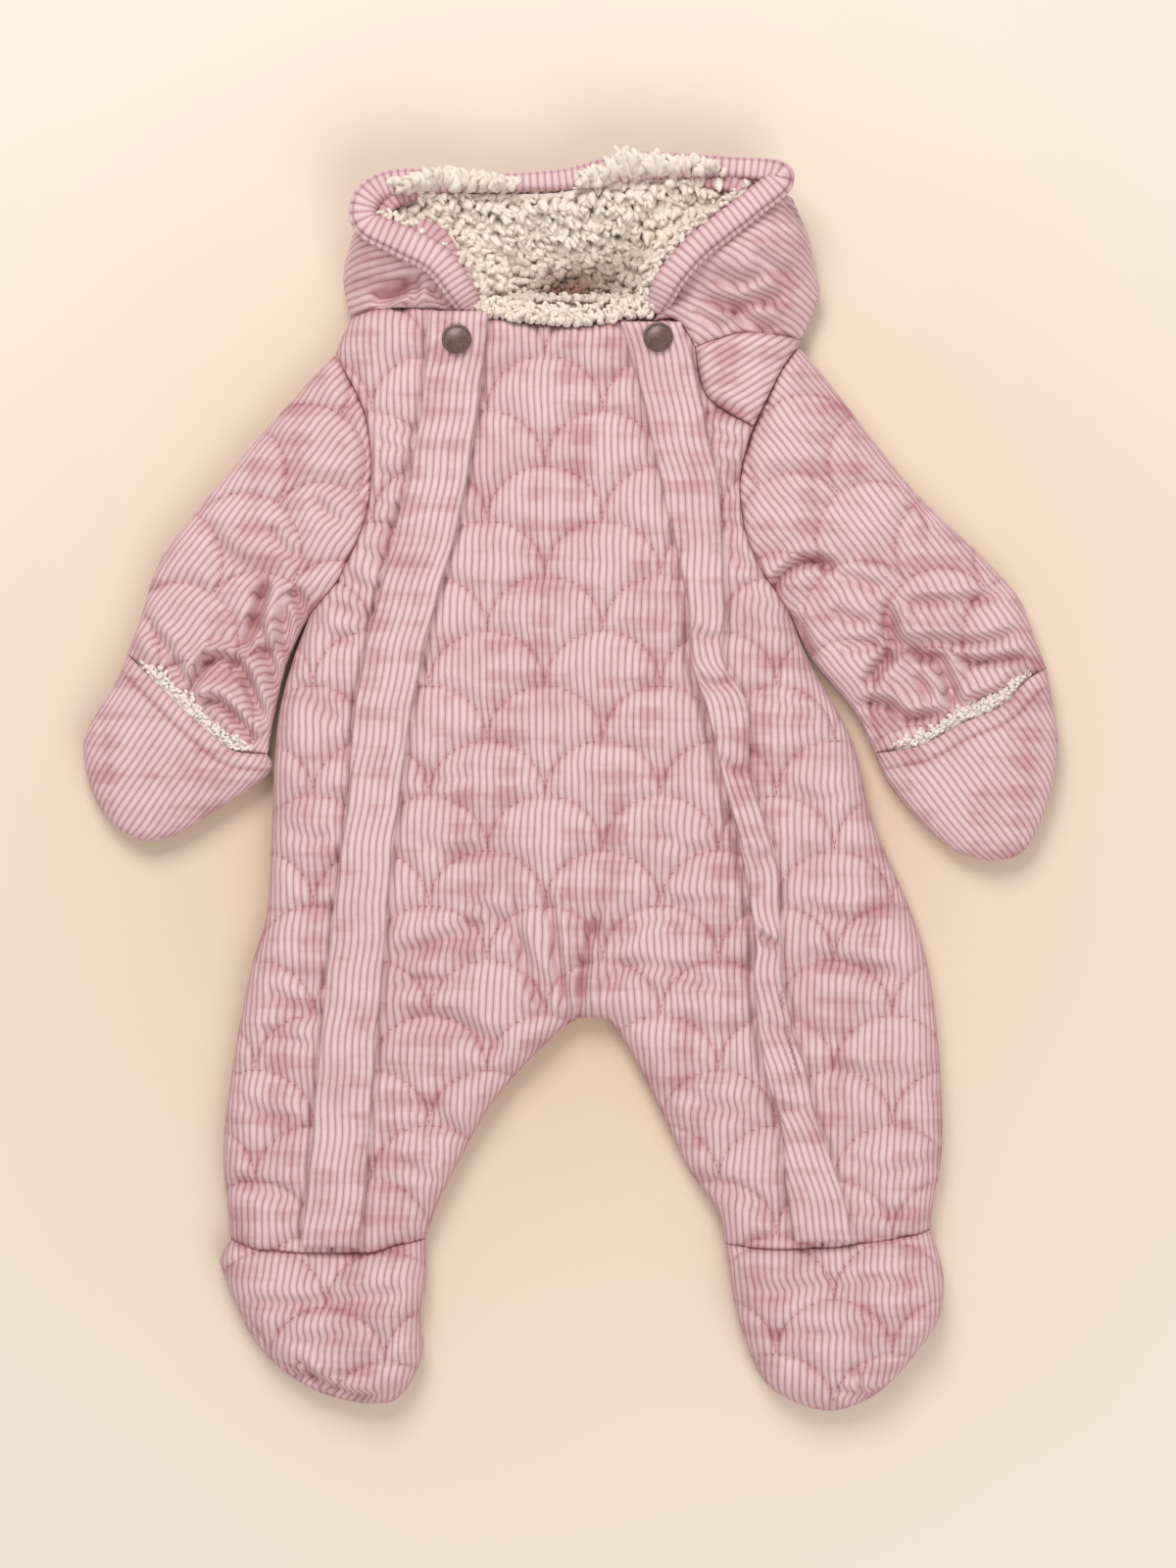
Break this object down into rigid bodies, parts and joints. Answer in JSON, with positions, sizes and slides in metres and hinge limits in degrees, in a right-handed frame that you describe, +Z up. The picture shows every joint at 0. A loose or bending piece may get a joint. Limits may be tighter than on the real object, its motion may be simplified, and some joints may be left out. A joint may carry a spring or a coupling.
{
  "type": "baby snowsuit",
  "caption": "Hooded, footed baby snowsuit of quilted corduroy with pile lining, front plackets, snaps and fold-over mitts, laid flat on its back.",
  "frame": {"origin": "middle of the garment's footprint, on the surface that it lies on", "axes": "+Z up from the surface, +Y towards the hood, +X towards the garment's right sleeve as seen from above"},
  "size_m": [0.4992, 0.6402, 0.0493],
  "materials": {
    "corduroy": "wide-wale cotton corduroy, dusty pink, brushed nap",
    "pile": "long curly sherpa pile, off-white",
    "plush": "short smooth plush, off-white",
    "snap_cap": "dark brown lacquered snap cap"
  },
  "bodies": {
    "root": {"front_center": "corduroy", "front_side_left": "corduroy", "front_side_right": "corduroy", "shoulder_right": "corduroy", "back": "corduroy", "foot_upper_left": "corduroy", "foot_sole_left": "corduroy", "foot_upper_right": "corduroy", "foot_sole_right": "corduroy", "sleeve_upper_left": "corduroy", "sleeve_under_left": "corduroy", "mitt_front_left": "corduroy", "mitt_back_left": "corduroy", "mitt_lining_left": "plush", "sleeve_upper_right": "corduroy", "sleeve_under_right": "corduroy", "mitt_front_right": "corduroy", "mitt_back_right": "corduroy", "mitt_lining_right": "plush", "placket_left": "corduroy", "placket_right": "corduroy", "snap_left": "snap_cap", "snap_right": "snap_cap", "hood_back": "corduroy", "hood_side_left": "corduroy", "hood_side_right": "corduroy", "hood_lining": "pile", "neck_lining": "pile", "hood_band": "corduroy"}
  },
  "joints": []
}
